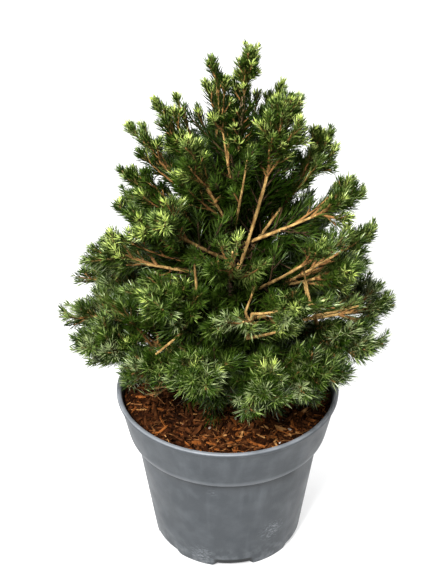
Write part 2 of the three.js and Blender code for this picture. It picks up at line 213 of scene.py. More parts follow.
def mix(a, b, share):
    return a + (b - a) * share


# One value of each item in a list
def values(items, key):
    return np.array([item[key] for item in items])


# Points of curves at shares from 0 to 1; controls end in three or four control points
def curve_point(controls, share):
    share = np.asarray(share, float)[..., None]
    rest = 1 - share
    if controls.shape[-2] == 3:
        a, b, c = (controls[..., i, :] for i in range(3))
        return rest**2 * a + 2 * rest * share * b + share**2 * c
    a, b, c, d = (controls[..., i, :] for i in range(4))
    return rest**3 * a + 3 * rest**2 * share * b + 3 * rest * share**2 * c + share**3 * d


def curve_tangent(controls, share):
    share = np.asarray(share, float)[..., None]
    rest = 1 - share
    if controls.shape[-2] == 3:
        a, b, c = (controls[..., i, :] for i in range(3))
        return unit(2 * rest * (b - a) + 2 * share * (c - b))
    a, b, c, d = (controls[..., i, :] for i in range(4))
    return unit(3 * rest**2 * (b - a) + 6 * rest * share * (c - b) + 3 * share**2 * (d - c))


# The part of a three-point curve between two shares
def curve_part(controls, start, end):
    a, b, c = (controls[..., i, :] for i in range(3))
    start = np.asarray(start, float)[..., None]
    end = np.asarray(end, float)[..., None]
    bend = (1 - start) * (1 - end) * a + ((1 - start) * end + start * (1 - end)) * b + start * end * c
    first = curve_point(controls, start[..., 0])
    last = curve_point(controls, end[..., 0])
    return np.stack([first, bend, last], axis=-2)


def curve_length(controls, steps=200):
    points = np.stack([curve_point(controls, t) for t in np.linspace(0, 1, steps + 1)], axis=-2)
    return np.linalg.norm(np.diff(points, axis=-2), axis=-1).sum(axis=-1)


def sampled(controls):
    return np.stack([curve_point(controls, t) for t in np.linspace(0, 1, STEM_SAMPLES + 1)])


# Two directions square to a tangent; the second points upwards on a level limb
def square_to(tangent):
    steep = np.abs(tangent[..., 2:3]) > 0.95
    reference = np.where(steep, np.array([0.0, 1.0, 0.0]), UP)
    side = unit(np.cross(tangent, reference))
    return side, unit(np.cross(side, tangent))


# A direction at an angle from one direction towards another
def leaning(tangent, out, lean):
    return tangent * np.cos(lean)[:, None] + out * np.sin(lean)[:, None]


# A seeded source of numbers from 0 to 1, the same as the solids' own
def seeded(seed):
    mask = 0xFFFFFFFF
    state = seed & mask

    def next_number():
        nonlocal state
        state = (state + 0x6D2B79F5) & mask
        value = ((state ^ (state >> 15)) * (state | 1)) & mask
        value ^= (value + (value ^ (value >> 7)) * (value | 61)) & mask
        return ((value ^ (value >> 14)) & mask) / 4294967296

    return next_number


def trunk_radius(share):
    taper = mix(TRUNK_RADIUS, TRUNK_TIP_RADIUS, share)
    flare = np.maximum(0, 1 - share / FLARE_SHARE)
    return taper + (FLARE_RADIUS - TRUNK_RADIUS) * flare**2


def trunk_share_at(height):
    low, high = 0.0, 1.0
    for _ in range(30):
        middle = (low + high) / 2
        if curve_point(TRUNK_POINTS, middle)[2] < height:
            low = middle
        else:
            high = middle
    return low


# The curve of a limb from its root to its tip
def limb_curve(start, angle, reach, height):
    stem_reach = reach - END_NEEDLES
    tip = np.array([stem_reach * math.cos(angle), stem_reach * math.sin(angle), height])
    bend = mix(start, tip, np.array([BEND_OUT, BEND_OUT, BEND_UP]))
    return np.stack([start, bend, tip])


# Boughs and masses worked out from the tiers
boughs = []
masses = []
limb_lines = {"trunk": TRUNK_POINTS}


def add_mass(label, tier, curve, radius, spread, shoots):
    mass = {"name": f"foliage_{label}", "tier": tier, "curve": curve, "line": sampled(curve)}
    mass |= {"radius": radius, "spread": spread, "shoots": shoots}
    masses.append(mass | {"seed": MASS_SEED * (len(masses) + 1)})


for tier, bough_radius, spread, shoots, limbs in TIERS:
    for i, (root_height, compass, reach, tip_height, bare, turn) in enumerate(limbs):
        label = f"{tier}_{i + 1}"
        root = curve_point(TRUNK_POINTS, trunk_share_at(root_height))
        angle = math.radians(compass)
        curve = limb_curve(root, angle, reach, tip_height)
        limb_lines[label] = curve
        if bare == 0:
            add_mass(label, tier, curve, bough_radius * STEM_SHARE_AT_TRUNK, spread, shoots)
            continue
        part = curve_part(curve, 0, bare)
        bough = {"name": f"bough_{label}", "tier": tier, "curve": part, "line": sampled(part)}
        boughs.append(bough | {"radius": bough_radius, "end_radius": bough_radius * BOUGH_END_SHARE})
        stem_radius = bough_radius * STEM_SHARE_OF_BOUGH
        stem = curve_part(curve, bare + GAP / curve_length(curve), 1)
        add_mass(label, tier, stem, stem_radius, spread, shoots)
        if turn:
            fork = curve_point(curve, bare - FORK_LEAD / curve_length(curve))
            fork_angle = angle + math.radians(turn)
            side = limb_curve(fork, fork_angle, reach * FORK_REACH, tip_height - FORK_DROP)
            limb_lines[f"{label}_side"] = side
            add_mass(f"{label}_side", tier, side, stem_radius, spread, shoots)
trunk_top = curve_point(TRUNK_POINTS, 1) + curve_tangent(TRUNK_POINTS, 1) * GAP
leader_curve = np.stack([trunk_top, (trunk_top + LEADER_TIP) / 2, LEADER_TIP])
add_mass("leader", "top", leader_curve, LEADER_RADIUS, LEADER_SPREAD, LEADER_SHOOTS)
LEADER = len(masses) - 1

mass_lines = values(masses, "line")
bough_lines = values(boughs, "line")
trunk_line = sampled(TRUNK_POINTS)


# Distances from many points to many lines, and the share along each line of the nearest place
def line_distances(points, lines):
    starts = lines[:, :-1]
    steps = lines[:, 1:] - starts
    away = points[:, None, None, :] - starts[None]
    along = (away * steps).sum(-1) / (steps**2).sum(-1)
    along = np.clip(along, 0, 1)
    distance = np.linalg.norm(away - along[..., None] * steps, axis=-1)
    best = distance.argmin(axis=-1)
    share = np.take_along_axis(along, best[..., None], -1)[..., 0]
    share = (best + share) / (lines.shape[1] - 1)
    return distance.min(axis=-1), share


def crown_reach(height):
    reach = np.interp(height, OUTLINE_HEIGHTS, OUTLINE_REACHES)
    return np.where(height > OUTLINE_HEIGHTS[-1], 0, reach)


# The stretches that a long row of points is worked through in
def chunks(points, size=4000):
    return [slice(first, first + size) for first in range(0, len(points), size)]


# Whether points lie in the space of their own mass, clear of the crown's outline, pot and limbs
def in_own_space(points, owners, thick):
    inside = np.ones(len(points), bool)
    for chunk in chunks(points):
        part = points[chunk]
        owner = owners[chunk]
        reach = np.hypot(part[:, 0], part[:, 1])
        good = (part[:, 2] >= POT_HEIGHT + 2) & (reach <= crown_reach(part[:, 2]))
        distance, _ = line_distances(part, mass_lines)
        own = distance[np.arange(len(part)), owner]
        distance[np.arange(len(part)), owner] = np.inf
        good &= distance.min(axis=1) >= own + 2 * (SPACE_MARGIN + thick)
        distance, share = line_distances(part, bough_lines)
        room = mix(values(boughs, "radius"), values(boughs, "end_radius"), share) + thick + LIMB_MARGIN
        good &= (distance >= room).all(axis=1)
        distance, share = line_distances(part, trunk_line[None])
        good &= distance[:, 0] > trunk_radius(share[:, 0]) + thick + LIMB_MARGIN
        inside[chunk] = good
    return inside


# Whether points lie well inside the crown and clear of every limb
def clear_of_limbs(points, owners, thick):
    reach = np.hypot(points[:, 0], points[:, 1])
    good = (points[:, 2] >= POT_HEIGHT + 4) & (reach <= 0.85 * crown_reach(points[:, 2]))
    for lines in (mass_lines, bough_lines, trunk_line[None]):
        for chunk in chunks(points):
            distance, _ = line_distances(points[chunk], lines)
            good[chunk] &= distance.min(axis=1) > 3 + thick
    return good


# Many shoots of one order, each a three-point curve in the space of its mass: luck is a draw that the
# shoots of one cluster share, and rank is a shoot's place in its cluster, from the tip back
class Shoots:
    def __init__(self, curves, owners, lengths, base, tip, luck=1.0, rank=9):
        self.curves, self.owners, self.lengths = curves, owners, lengths
        self.base, self.tip, self.luck, self.rank = (
            np.broadcast_to(value, lengths.shape).astype(float) for value in (base, tip, luck, rank)
        )

    def fields(self):
        return self.curves, self.owners, self.lengths, self.base, self.tip, self.luck, self.rank

    def pick(self, mask):
        return Shoots(*(field[mask] for field in self.fields()))

    def join(self, other):
        return Shoots(*(np.concatenate(pair) for pair in zip(self.fields(), other.fields())))


# The curve of a side shoot at a share of its parent
def shoot_curves(parents, share, turn, lean, length):
    root = curve_point(parents, share)
    tangent = curve_tangent(parents, share)
    side, over = square_to(tangent)
    out = unit(side * np.cos(turn)[:, None] + over * (SHOOT_FLATNESS * np.sin(turn))[:, None])
    heading = leaning(tangent, out, lean)
    bend = root + heading * length[:, None] / 2
    end = bend + unit(heading + UP * SHOOT_RISE) * length[:, None] / 2
    return np.stack([root, bend, end], axis=1)


# Cuts each shoot back, or drops it, where its end would leave the mass's space
def fitted(curves, owners, lengths, thick, cuts=SHOOT_CUTS, fits=in_own_space):
    keep = np.zeros(len(curves))
    for cut in cuts:
        open_ones = np.flatnonzero(keep == 0)
        if not len(open_ones):
            break
        good = np.ones(len(open_ones), bool)
        for share in (0.5, 0.75, 1):
            points = curve_point(curves[open_ones], share * cut)
            good &= fits(points, owners[open_ones], thick)
        keep[open_ones[good]] = cut
    kept = keep > 0
    return kept, curve_part(curves[kept], 0, keep[kept]), lengths[kept] * keep[kept]


stems = Shoots(
    values(masses, "curve"),
    np.arange(len(masses)),
    np.array([curve_length(mass["curve"]) for mass in masses]),
    values(masses, "radius"),
    values(masses, "radius") * (1 - STEM_TAPER),
)


# The side shoots that the solids have, from the same draws
def main_shoots():
    rows = []
    for owner, mass in enumerate(masses):
        chance = seeded(mass["seed"])
        for i in range(mass["shoots"]):
            share = FIRST_SHOOT + SHOOT_STRETCH * (i + chance() * 0.6) / mass["shoots"]
            turn = i * GOLDEN_ANGLE + chance()
            lean = math.radians(SHOOT_LEAN - SHOOT_LEAN_LOSS * share + 8 * chance())
            length = mass["spread"] * (1.05 - 0.5 * share) * (0.85 + 0.3 * chance())
            rows.append((share, turn, lean, length, owner))
    share, turn, lean, length, owners = (np.array(column) for column in zip(*rows))
    curves = shoot_curves(stems.curves[owners], share, turn, lean, length)
    kept, curves, lengths = fitted(curves, owners, length, SHOOT_ROOM)
    return Shoots(curves, owners[kept], lengths, MAIN_SHOOT_RADIUS, SHOOT_TIP_RADIUS)


# The mass whose stem is nearest to each point
def nearest_mass(points):
    distances = [line_distances(points[chunk], mass_lines)[0] for chunk in chunks(points)]
    return np.concatenate(distances).argmin(axis=1)


# Open places in front of the limbs that the photograph shows bare: label of the limb, first and last
# share of its length, and half the width that stays open
BARE_VIEWS = [
    ("upper_8", 0.20, 0.61, 4.6),
    ("upper_1", 0.27, 0.62, 3.2),
    ("upper_2", 0.35, 0.74, 3.2),
    ("upper_4", 0.14, 0.45, 3.0),
    ("middle_4", 0.32, 0.62, 3.4),
    ("middle_1", 0.46, 0.76, 3.0),
    ("middle_1_side", 0.20, 0.52, 3.0),
    ("middle_2", 0.22, 0.50, 3.0),
    ("low_1", 0.48, 0.80, 3.0),
    ("high_1", 0.22, 0.48, 2.5),
    ("top_3", 0.20, 0.50, 2.0),
    ("high_3", 0.24, 0.50, 2.0),
    ("trunk", 0.33, 0.43, 1.8),
]
VIEW_SPOTS = 24
# Limbs in front of the trunk as the photograph shows them: bend, end and radius
FRONT_LIMBS = [
    ((-24, -46, 277), (-26, -52, 313), 1.4),
    ((66, -34, 252), (58, -40, 295), 1.5),
    ((14, -50, 257), (22, -56, 289), 1.4),
    ((14, -56, 236), (50, -84, 265), 2.0),
    ((19, -56, 259), (40, -76, 275), 1.7),
    ((-39, -56, 238), (-68, -87, 231), 1.5),
    ((69, -36, 244), (101, -54, 265), 1.9),
]
FRONT_VIEW = (0.10, 0.58)
FRONT_VIEW_MARGIN = 0.5
KEY_PLACE = (-0.42, -1.2, 1.45)
KEY_VIEW_SHARE = 0.7
DRAW_SEED = 1902
draw = np.random.default_rng(DRAW_SEED)


# A draw from 0 to 1 for each of some rows
def chances(rows):
    return draw.random(len(rows))


# The same from a low value up to one that is higher by the extent
def vary(low, extent, rows):
    return low + extent * chances(rows)


# The places on the limbs that are nearest to some points
def nearest_places(points):
    lines = np.concatenate([mass_lines, bough_lines, trunk_line[None]])
    distance, share = line_distances(points, lines)
    nearest = distance.argmin(axis=1)
    steps = share[np.arange(len(points)), nearest] * STEM_SAMPLES
    step = np.minimum(steps.astype(int), STEM_SAMPLES - 1)
    return mix(lines[nearest, step], lines[nearest, step + 1], (steps - step)[:, None])


# Shoots along curves of their own, outside the masses' rule
def free_shoots(starts, bends, ends, base, tip):
    curves = np.stack([starts, bends, ends], axis=1)
    return Shoots(curves, nearest_mass(ends), curve_length(curves), base, tip, chances(ends))


bends, ends, radii = (np.array(column, float) for column in zip(*FRONT_LIMBS))
sag = np.array([0, 0, -1.5])
front_limbs = free_shoots(bends, mix(bends, ends, 0.5) + sag, ends, radii, 0.7)
feet = nearest_places(bends)
front_feet = free_shoots(feet, mix(feet, bends, 0.6) + 4 * sag, bends, radii, 0.9 * radii)

eye = np.array(camera.location) / MM
views = [(limb_lines[label], (first, last), half) for label, first, last, half in BARE_VIEWS]
for curve, radius in zip(front_limbs.curves, front_limbs.base):
    views.append((curve, FRONT_VIEW, radius + FRONT_VIEW_MARGIN))
view_spots = np.concatenate([curve_point(curve, np.linspace(*span, VIEW_SPOTS)) for curve, span, _ in views])
view_widths = np.repeat([half for _, _, half in views], VIEW_SPOTS)


# Whether points lie in front of a bare limb, seen from the eye or from the brightest light
def before_bare_limb(points):
    hidden = np.zeros(len(points), bool)
    for place, widths in ((eye, view_widths), (np.array(KEY_PLACE) / MM, KEY_VIEW_SHARE * view_widths)):
        depths = np.linalg.norm(view_spots - place, axis=1)
        lines = (view_spots - place) / depths[:, None]
        for chunk in chunks(points, 20000):
            away = points[chunk] - place
            depth = away @ lines.T
            aside = np.sqrt(np.maximum((away**2).sum(-1)[:, None] - depth**2, 0))
            near = (aside * depths / depth < widths) & (depth < depths + 1)
            hidden[chunk] |= near.any(axis=1)
    return hidden


# Drops a share of the shoots that stand before a bare limb
def clear_of_views(shoots, dropped):
    hidden = np.zeros(len(shoots.lengths), bool)
    for share in (0.25, 0.5, 0.75, 1):
        hidden |= before_bare_limb(curve_point(shoots.curves, share))
    return shoots.pick(~hidden | (chances(hidden) > dropped))


# As many rows for each parent as its count: the parent's index and the row's number
def numbered(counts):
    index = np.repeat(np.arange(len(counts)), counts)
    return index, np.arange(len(index)) - np.repeat(np.cumsum(counts) - counts, counts)


# Turns that step by the golden angle from a start of each parent's own
def golden_turns(count, index, number):
    return (draw.random(count) * FULL_TURN)[index] + number * GOLDEN_ANGLE


# Shoots from rows of shares, turns, leans and lengths. With a test of its own, each one goes to the
# mass that its end is nearest to
def grown(parents, index, share, turn, lean, length, base, tip, cuts=SHOOT_CUTS, fits=None):
    curves = shoot_curves(parents.curves[index], share, turn, lean, length)
    owners = nearest_mass(curves[:, 2]) if fits else parents.owners[index]
    kept, curves, lengths = fitted(curves, owners, length, 0.1, cuts, fits or in_own_space)
    return clear_of_views(Shoots(curves, owners[kept], lengths, base, tip, chances(lengths)), 1)


# Finer shoots by the same rule: one for each step along a parent, from first to last share
def finer_shoots(parents, step, first, last, size, smallest, radius, lean, fits=None):
    counts = np.maximum(1, np.round(parents.lengths * (last - first) / step)).astype(int)
    index, number = numbered(counts)
    size = np.broadcast_to(size, len(counts))[index]
    share = first + (last - first) * (number + chances(index) * 0.6) / counts[index]
    turn = golden_turns(len(counts), index, number) + chances(index)
    lean = np.radians(lean - SHOOT_LEAN_LOSS * share + 14 * (chances(index) - 0.3))
    length = np.maximum(size * (1.05 - 0.5 * share) * vary(0.75, 0.5, index), smallest)
    return grown(parents, index, share, turn, lean, length, radius, min(radius, 0.55), fits=fits)


# A cluster of short shoots along the end of each parent, wider apart further back
def end_shoots(parents, count, size):
    index, number = numbered(np.full(len(parents.lengths), count))
    owners = parents.owners[index]
    spread = np.sqrt((number + 0.5 * chances(index)) / count)
    size = size * size_factor[owners]
    share = 1 - np.minimum(size * (0.6 + 0.9 * spread) / parents.lengths[index], 0.5)
    turn = golden_turns(len(parents.lengths), index, number)
    lean = np.radians(6 + cluster_spread[owners] * spread + 8 * (chances(index) - 0.5))
    length = size * vary(0.8, 0.4, index)
    curves = shoot_curves(parents.curves[index], share, turn, lean, length)
    kept, curves, lengths = fitted(curves, owners, length, 0)
    luck = chances(parents.lengths)[index][kept]
    return clear_of_views(Shoots(curves, owners[kept], lengths, 0.7, 0.5, luck, number[kept]), 0.9)


# Long slender shoots that leave the inner two thirds of a stem at a narrow angle and fan out beside it
def fan_shoots(parents, counts):
    index, number = numbered(counts)
    share = 0.06 + 0.6 * (number + chances(index)) / counts[index]
    turn = golden_turns(len(counts), index, number) + 0.6 * chances(index)
    lean = np.radians(6 + fan_spread[parents.owners[index]] * chances(index))
    length = parents.lengths[index] * (1 - share) * vary(0.62, 0.3, index)
    return grown(parents, index, share, turn, lean, length, 1.3, 0.5, FAN_CUTS)


# Ends of shoots that stand in front of the trunk, then those of some that fill gaps
ROSETTES = [
    (-5, -78, 302), (-12, -62, 248), (26, -60, 262), (-40, -58, 262), (4, -76, 226), (36, -72, 232),
    (-30, -82, 214), (-8, -88, 200), (52, -60, 250),
    (-61, -14, 212), (80, -8, 216), (92, -8, 219), (-84, -20, 243), (-92, 2, 240), (-76, 12, 234),
    (-70, -42, 240), (-96, -28, 236), (-60, -4, 232), (62, -30, 231), (76, -18, 228), (82, -42, 234),
    (58, -6, 226), (46, 20, 322), (40, 36, 306), (54, 30, 300), (58, -4, 249), (69, 4, 256),
    (83, 0, 255), (94, -6, 256), (60, -6, 228), (74, 2, 236), (89, -8, 232), (-64, -4, 249),
    (-54, 2, 248), (-71, 4, 264), (38, 34, 357), (31, 30, 345), (45, 38, 369), (52, 24, 352),
    (-14, -30, 251), (30, -40, 197), (43, -34, 207),
]
ROSETTE_BEND = [0.7, 0.7, 1]
ROSETTE_DROP = [0, 0, 12]
FAN_CUTS = (1, 0.86, 0.72, 0.58, 0.45, 0.33)
FAN_COUNTS = {"low": 11, "middle": 10, "upper": 9, "high": 8, "top": 5}
FAN_SPREADS = {"low": 30, "middle": 27, "upper": 20, "high": 17, "top": 10}
CLUSTER_SPREADS = {"low": 20, "middle": 18, "upper": 15, "high": 14, "top": 12}
BOUGH_SHOOT_BASE = 2.5
BOUGH_SHOOT_TIP = 2.0
LEADER_SHOOT_SHARE = 0.5


def per_mass(of_tier):
    return np.array([of_tier[mass["tier"]] for mass in masses])


spreads = values(masses, "spread")
size_factor = np.clip(spreads / 36, 0.55, 1.1)
fan_spread = per_mass(FAN_SPREADS)
cluster_spread = per_mass(CLUSTER_SPREADS)
bough_limbs = Shoots(
    values(boughs, "curve"),
    nearest_mass(values(boughs, "curve")[:, 2]),
    np.array([curve_length(bough["curve"]) for bough in boughs]),
    BOUGH_SHOOT_BASE,
    BOUGH_SHOOT_TIP,
)
trunk_limb = Shoots(
    TRUNK_POINTS[None],
    np.array([LEADER]),
    curve_length(TRUNK_POINTS)[None],
    TRUNK_RADIUS,
    TRUNK_TIP_RADIUS,
)
mains = clear_of_views(main_shoots(), 1)
on_leader = mains.owners == LEADER
mains.curves[on_leader] = curve_part(mains.curves[on_leader], 0, LEADER_SHOOT_SHARE)
mains.lengths[on_leader] *= LEADER_SHOOT_SHARE
leader = stems.pick(stems.owners == LEADER)
fans = fan_shoots(stems, per_mass(FAN_COUNTS))
fingers = mains.join(fans)

# Finer shoots: step, first and last share, length, least length, radius and lean
betweens = finer_shoots(stems, 13, 0.3, 0.95, spreads * 0.6, 12, 0.9, 38)
inners = finer_shoots(bough_limbs, 2.4, 0.08, 1, 52, 16, 0.9, 56, clear_of_limbs)
cores = finer_shoots(trunk_limb, 1.7, 0.06, 0.78, 66, 14, 0.9, 62, clear_of_limbs)
column = finer_shoots(leader, 3, 0.02, 0.4, 7, 5, 0.7, 34)
tops = finer_shoots(trunk_limb, 2.0, 0.6, 1, 23, 10, 0.8, 56, clear_of_limbs).join(column)
top_ends = end_shoots(tops, 2, 8)
twigs = finer_shoots(fingers, 11, 0.2, 0.85, 10 + fingers.lengths * 0.18, 9, 0.8, 38)
back_twigs = finer_shoots(inners.join(cores), 16, 0.4, 0.9, 16, 11, 0.75, 32)
spots = np.array(ROSETTES, float)
bends = spots * ROSETTE_BEND - ROSETTE_DROP
rosettes = free_shoots(nearest_places(bends), bends, spots, 1.3, 0.5)
rosette_ends = end_shoots(rosettes, 7, 11)
front_ends = end_shoots(front_limbs, 6, 11)
stem_ends = end_shoots(stems, 6, 14)
fan_ends = end_shoots(fingers, 3, 11)
twig_ends = end_shoots(twigs.join(betweens), 1, 8).join(top_ends)


# Joins several meshes of points and triangles into one
def joined(meshes):
    points, triangles, offset = [], [], 0
    for some_points, some_triangles in meshes:
        points.append(some_points)
        triangles.append(some_triangles + offset)
        offset += len(some_points)
    return np.concatenate(points), np.concatenate(triangles)


# Makes one named piece of points and triangles that stands for some solids
def add_piece(name, points_and_triangles, material, stands_for=(), smooth=True):
    points, triangles = points_and_triangles
    mesh = bpy.data.meshes.new(name)
    mesh.vertices.add(len(points))
    mesh.vertices.foreach_set("co", (points * MM).astype(np.float32).ravel())
    mesh.loops.add(triangles.size)
    mesh.loops.foreach_set("vertex_index", triangles.astype(np.int32).ravel())
    mesh.polygons.add(len(triangles))
    mesh.polygons.foreach_set("loop_start", np.arange(0, triangles.size, 3, dtype=np.int32))
    mesh.update(calc_edges=True)
    mesh.polygons.foreach_set("use_smooth", np.full(len(triangles), smooth))
    mesh.materials.append(material)
    piece = add_object(name, mesh)
    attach(piece, "root")
    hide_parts(*stands_for)
    return piece


# Triangles between rings of points, and to a last point; when closed, to a first point before it too
def ring_faces(sides, rings, closed=False):
    ring = np.arange(sides)
    after = (ring + 1) % sides
    faces = []
    for low in range(0, rings * sides, sides):
        high = low + sides
        faces.append(np.stack([low + ring, high + ring, low + after], -1))
        faces.append(np.stack([low + after, high + ring, high + after], -1))
    last = rings * sides
    end = np.full(sides, last + sides)
    if closed:
        faces.append(np.stack([end, ring, after], -1))
        end = end + 1
    faces.append(np.stack([last + ring, end, last + after], -1))
    return np.concatenate(faces)


# The same triangles for each of many equal parts
def repeated(faces, count, step):
    return (faces[None] + (np.arange(count) * step)[:, None, None]).reshape(-1, 3)


# Round tapering bars along many curves, with a pointed end
def bars(curves, base, tip, sides, rings):
    side, _ = square_to(curve_tangent(curves, 0.5))
    angles = FULL_TURN * np.arange(sides) / sides
    layers = []
    for share in np.linspace(0, 1, rings + 1):
        tangent = curve_tangent(curves, share)
        across = unit(side - (side * tangent).sum(-1, keepdims=True) * tangent)
        over = np.cross(across, tangent)
        radius = np.reshape(mix(base, tip, share), (-1, 1, 1))
        out = np.cos(angles)[None, :, None] * across[:, None] + np.sin(angles)[None, :, None] * over[:, None]
        layers.append(curve_point(curves, share)[:, None] + out * radius)
    ends = curve_point(curves, 1) + curve_tangent(curves, 1) * np.reshape(tip, (-1, 1))
    points = np.concatenate([np.concatenate(layers, axis=1), ends[:, None]], axis=1)
    return points.reshape(-1, 3), repeated(ring_faces(sides, rings), len(curves), points.shape[1])


# Needles as slender bowed slivers of four faces
NEEDLE_FACES = np.array([[0, 2, 1], [0, 1, 3], [0, 3, 2], [1, 2, 3]])
NEEDLE_CORNERS = 4
NEEDLE_WIDEST = 0.45
NEEDLE_RISE = 0.55
NEEDLE_BOW = 0.12


def slivers(roots, headings, bows, lengths, widths):
    side = unit(np.cross(headings, bows))
    over = np.cross(side, headings)
    middle = roots + headings * (NEEDLE_WIDEST * lengths)[:, None]
    half = side * (widths / 2)[:, None]
    rise = over * (NEEDLE_RISE * widths)[:, None]
    tips = roots + (headings * 0.99 + bows * NEEDLE_BOW) * lengths[:, None]
    points = np.stack([roots, middle - half + rise, middle + half + rise, tips], axis=1)
    return points.reshape(-1, 3), repeated(NEEDLE_FACES, len(roots), NEEDLE_CORNERS)


# Materials
def new_material(name, roughness, specular):
    made = bpy.data.materials.new(name)
    made.use_nodes = True
    shader = made.node_tree.nodes["Principled BSDF"]
    shader.inputs["Roughness"].default_value = roughness
    shader.inputs["Specular IOR Level"].default_value = specular
    return made, made.node_tree, shader


# Adds a node, with a link into each input that is given a socket and a value in the others
def add_node(tree, kind, inputs, **settings):
    node = tree.nodes.new("ShaderNode" + kind)
    for name, value in settings.items():
        setattr(node, name, value)
    for key, value in inputs.items():
        if isinstance(value, bpy.types.NodeSocket):
            tree.links.new(value, node.inputs[key])
        else:
            node.inputs[key].default_value = value
    return node


def place(tree, stretch=(1, 1, 1)):
    where = add_node(tree, "TexCoord", {}).outputs["Object"]
    return add_node(tree, "Mapping", {"Vector": where, "Scale": stretch}).outputs["Vector"]


# A value spread out so that it runs from 0 at one level to 1 at another
def levels(tree, value, low, high):
    inputs = {"Value": value, "From Min": low, "From Max": high}
    return add_node(tree, "MapRange", inputs).outputs["Result"]


def noise_value(tree, where, scale, detail, low=0.35, high=0.65):
    texture = add_node(tree, "TexNoise", {"Vector": where, "Scale": scale, "Detail": detail})
    return levels(tree, texture.outputs["Fac"], low, high)


def mixed(tree, factor, *colours):
    first, second = (
        colour if isinstance(colour, bpy.types.NodeSocket) else (*colour, 1) for colour in colours
    )
    inputs = {"Factor": factor, 6: first, 7: second}
    return add_node(tree, "Mix", inputs, data_type="RGBA").outputs[2]


def add_bump(tree, shader, height, strength, distance):
    inputs = {"Height": height, "Strength": strength, "Distance": distance}
    tree.links.new(add_node(tree, "Bump", inputs).outputs["Normal"], shader.inputs["Normal"])


def needle_material(name, dark, light, specular):
    made, tree, shader = new_material(name, NEEDLE_ROUGHNESS, specular)
    colour = mixed(tree, noise_value(tree, place(tree), 260, 2), dark, light)
    tree.links.new(colour, shader.inputs["Base Color"])
    return made


def bark_material(name, dark, light, scale, roughness, bump, specular=0.3):
    made, tree, shader = new_material(name, roughness, specular)
    where = place(tree, BARK_STRETCH)
    colour = mixed(tree, noise_value(tree, where, scale, 5), dark, light)
    tree.links.new(colour, shader.inputs["Base Color"])
    fine = noise_value(tree, where, scale * 4, 6, 0.3, 0.7)
    add_bump(tree, shader, fine, bump, BARK_DEPTH)
    return made


# Dark and light colour of each kind of needle, and its specular level
NEEDLE_COLOURS = {
    # The dark deep kind also serves as painted shade inside the crown and low down
    "deep": ((0.008, 0.021, 0.001), (0.022, 0.047, 0.003), 0.15),
    "mid": ((0.026, 0.055, 0.003), (0.068, 0.112, 0.011), 0.6),
    "fresh": ((0.116, 0.170, 0.032), (0.228, 0.288, 0.082), 0.75),
    "lime": ((0.285, 0.360, 0.062), (0.475, 0.550, 0.180), 0.6),
    # The pale kind's light grey-green is partly the needles' own tone and partly a painted sheen
    "pale": ((0.165, 0.212, 0.085), (0.320, 0.370, 0.180), 0.75),
}
NEEDLE_ROUGHNESS = 0.38
# Dark and light colour, scale of the mottling, roughness and bump of each bark
BARKS = {
    "shaded_bark": ((0.030, 0.018, 0.008), (0.075, 0.042, 0.018), 160, 0.85, 0.5),
    "twig_bark": ((0.15, 0.068, 0.020), (0.32, 0.175, 0.060), 160, 0.75, 0.5),
    "bough_bark": ((0.20, 0.112, 0.034), (0.58, 0.39, 0.15), 260, 0.8, 1.0),
    "trunk_bark": ((0.085, 0.056, 0.034), (0.27, 0.18, 0.10), 150, 0.9, 1.0),
    "young_shoot": ((0.075, 0.060, 0.016), (0.17, 0.13, 0.038), 300, 0.6, 0.3),
}
BARK_STRETCH = (1, 1, 0.35)
BARK_DEPTH = 0.0004
barks = {name: bark_material(name, *looks) for name, looks in BARKS.items()}

tier_names = [tier[0] for tier in TIERS]
tier_of_mass = np.array([tier_names.index(mass["tier"]) for mass in masses])
foliage_of_tier = [[mass["name"] for mass in masses if mass["tier"] == tier] for tier in tier_names]

# Shaded wood inside the crown, woody twigs and young shoots, one piece of each for each tier; sides and
# rings of each set of bars. The wood ends short of the tips, under their needles
SHADED = [(inners, 4, 3), (cores, 4, 3), (back_twigs, 3, 2)]
WOODY = [(mains, 5, 5), (fans, 5, 5), (rosettes, 5, 4), (betweens, 4, 3), (tops, 5, 4), (twigs, 3, 2)]
YOUNG = [(shoots, 3, 1) for shoots in (stem_ends, fan_ends, twig_ends, rosette_ends, front_ends)]
WOOD = [("shaded", SHADED, "shaded_bark"), ("twigs", WOODY, "twig_bark"), ("shoots", YOUNG, "young_shoot")]
WOOD_END = 0.93
BARE_SHARE = 0.82
LIMB_SIDES = 8
LIMB_RINGS = 26
limbs = stems.join(front_limbs).join(front_feet)
for number, tier in enumerate(tier_names):
    for name, sets, bark in WOOD:
        meshes = []
        for shoots, sides, rings in sets:
            own = shoots.pick(tier_of_mass[shoots.owners] == number)
            if len(own.lengths):
                meshes.append(bars(curve_part(own.curves, 0, WOOD_END), own.base, own.tip, sides, rings))
        if meshes:
            add_piece(f"{name}_{tier}", joined(meshes), barks[bark], foliage_of_tier[number])
    own = limbs.pick(tier_of_mass[limbs.owners] == number)
    mesh = bars(own.curves, BARE_SHARE * own.base, own.tip, LIMB_SIDES, LIMB_RINGS)
    add_piece(f"stems_{tier}", mesh, barks["bough_bark"], foliage_of_tier[number])


# Needles
DEEP, MID, FRESH, LIME, PALE = range(5)
CROWN_HEIGHT = 310
LEAST_REACH = 25


def reach_at(points):
    return np.maximum(crown_reach(points[:, 2]), LEAST_REACH)


# How far out a point lies, from 0 at the pot's axis to 1 at the crown's outline, and how high
def place_in_crown(points):
    outer = np.hypot(points[:, 0], points[:, 1]) / reach_at(points)
    return outer, (points[:, 2] - POT_HEIGHT) / CROWN_HEIGHT


